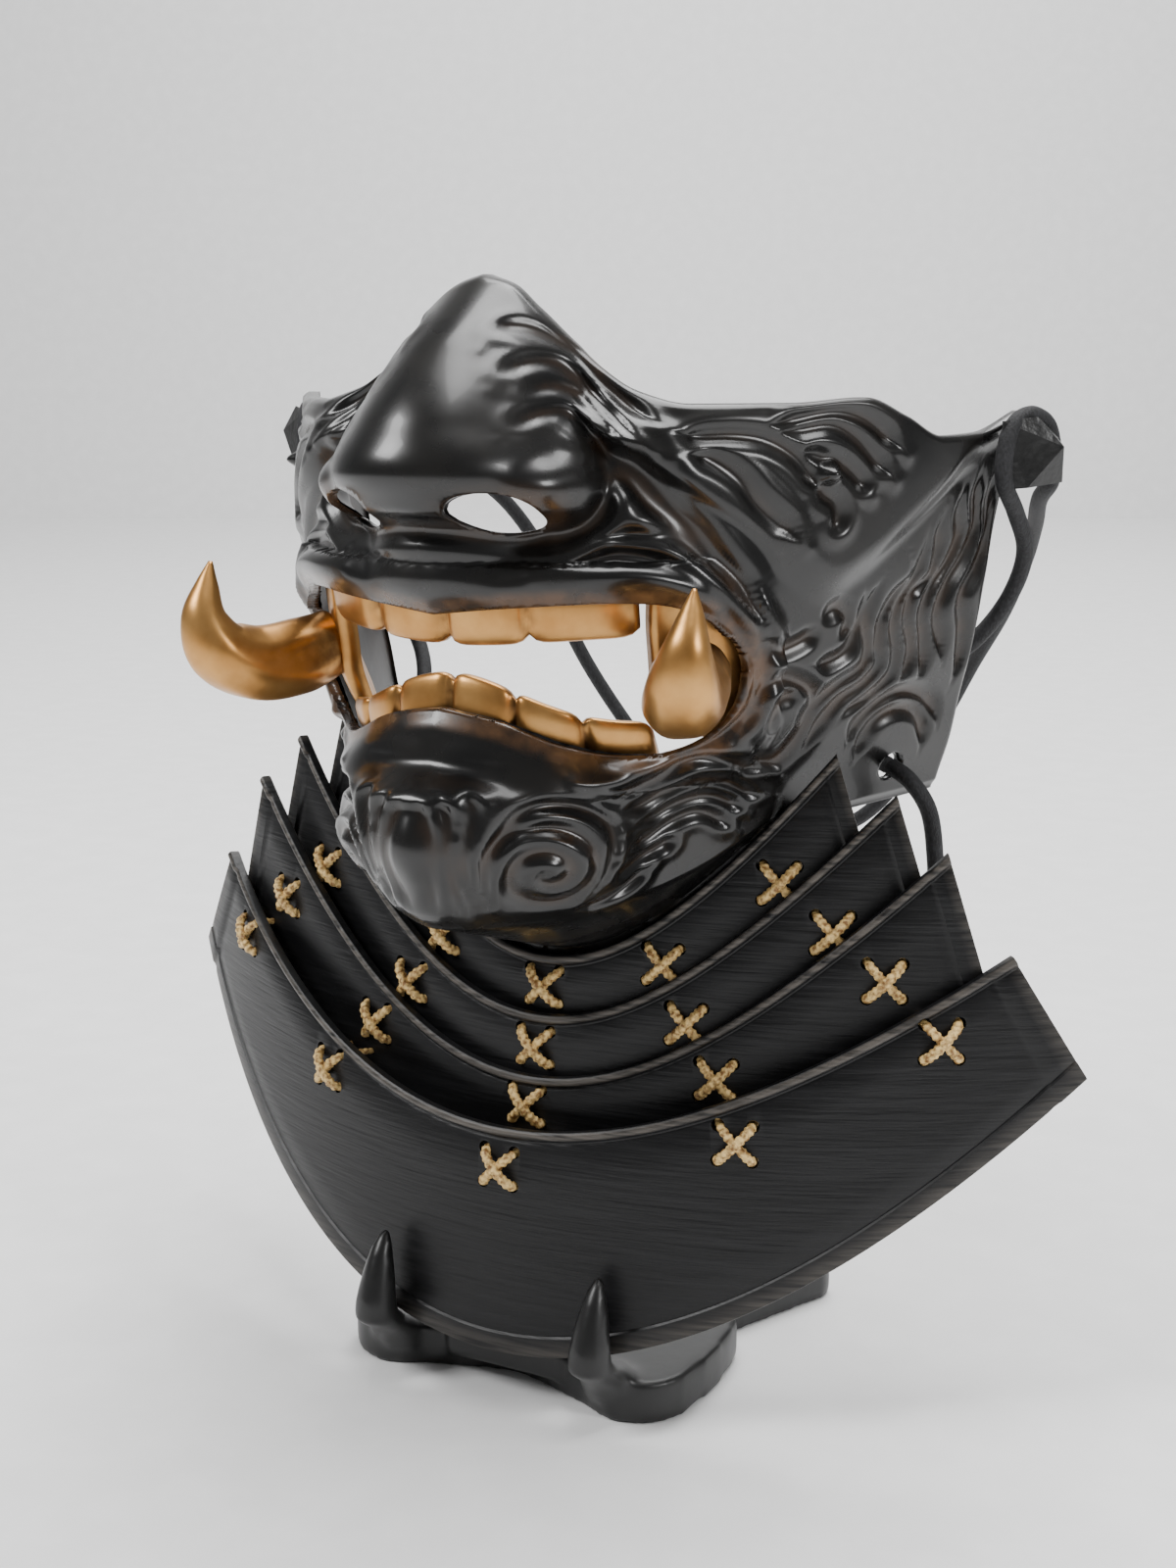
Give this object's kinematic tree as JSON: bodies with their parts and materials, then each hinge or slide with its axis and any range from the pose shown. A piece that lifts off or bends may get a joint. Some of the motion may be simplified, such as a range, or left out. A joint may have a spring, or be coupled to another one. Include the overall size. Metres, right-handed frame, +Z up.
{
  "type": "samurai face guard on a stand",
  "caption": "Black lacquered half mask of a snarling demon with gold teeth and tusks, a laced throat guard of curved plates, elastic straps, and a low two-pronged stand.",
  "frame": {"origin": "centre of the stand's foot, on the surface it stands on", "axes": "+Z up; the face looks along -Y; +X is to the right as seen from in front, which is the wearer's left"},
  "size_m": [0.2434, 0.2029, 0.2546],
  "materials": {
    "lacquer": "deep gloss black lacquer, a little bronze dusting in the recesses",
    "gold": "worn satin gold, darker between the teeth and at the tusks' roots",
    "satin": "satin black, fine level scratches, worn light at the edges",
    "lacing": "braided gold and cream cord",
    "elastic": "round black elastic cord",
    "stand_black": "satin black, softly rounded"
  },
  "bodies": {
    "root": {"face_shell": "lacquer", "upper_teeth": "gold", "lower_teeth": "gold", "tusk_left": "gold", "tusk_right": "gold", "ear_stud_left": "satin", "ear_stud_right": "satin", "head_strap": "elastic", "stand": "stand_black", "lame_1": "satin", "cross_1_1": "lacing", "cross_1_2": "lacing", "cross_1_3": "lacing", "cross_1_4": "lacing", "cross_1_5": "lacing", "lame_2": "satin", "cross_2_1": "lacing", "cross_2_2": "lacing", "cross_2_3": "lacing", "cross_2_4": "lacing", "cross_2_5": "lacing", "lame_3": "satin", "cross_3_1": "lacing", "cross_3_2": "lacing", "cross_3_3": "lacing", "cross_3_4": "lacing", "cross_3_5": "lacing", "lame_4": "satin", "cross_4_1": "lacing", "cross_4_2": "lacing", "cross_4_3": "lacing", "cross_4_4": "lacing", "cross_4_5": "lacing", "chin_strap": "elastic"}
  },
  "joints": []
}
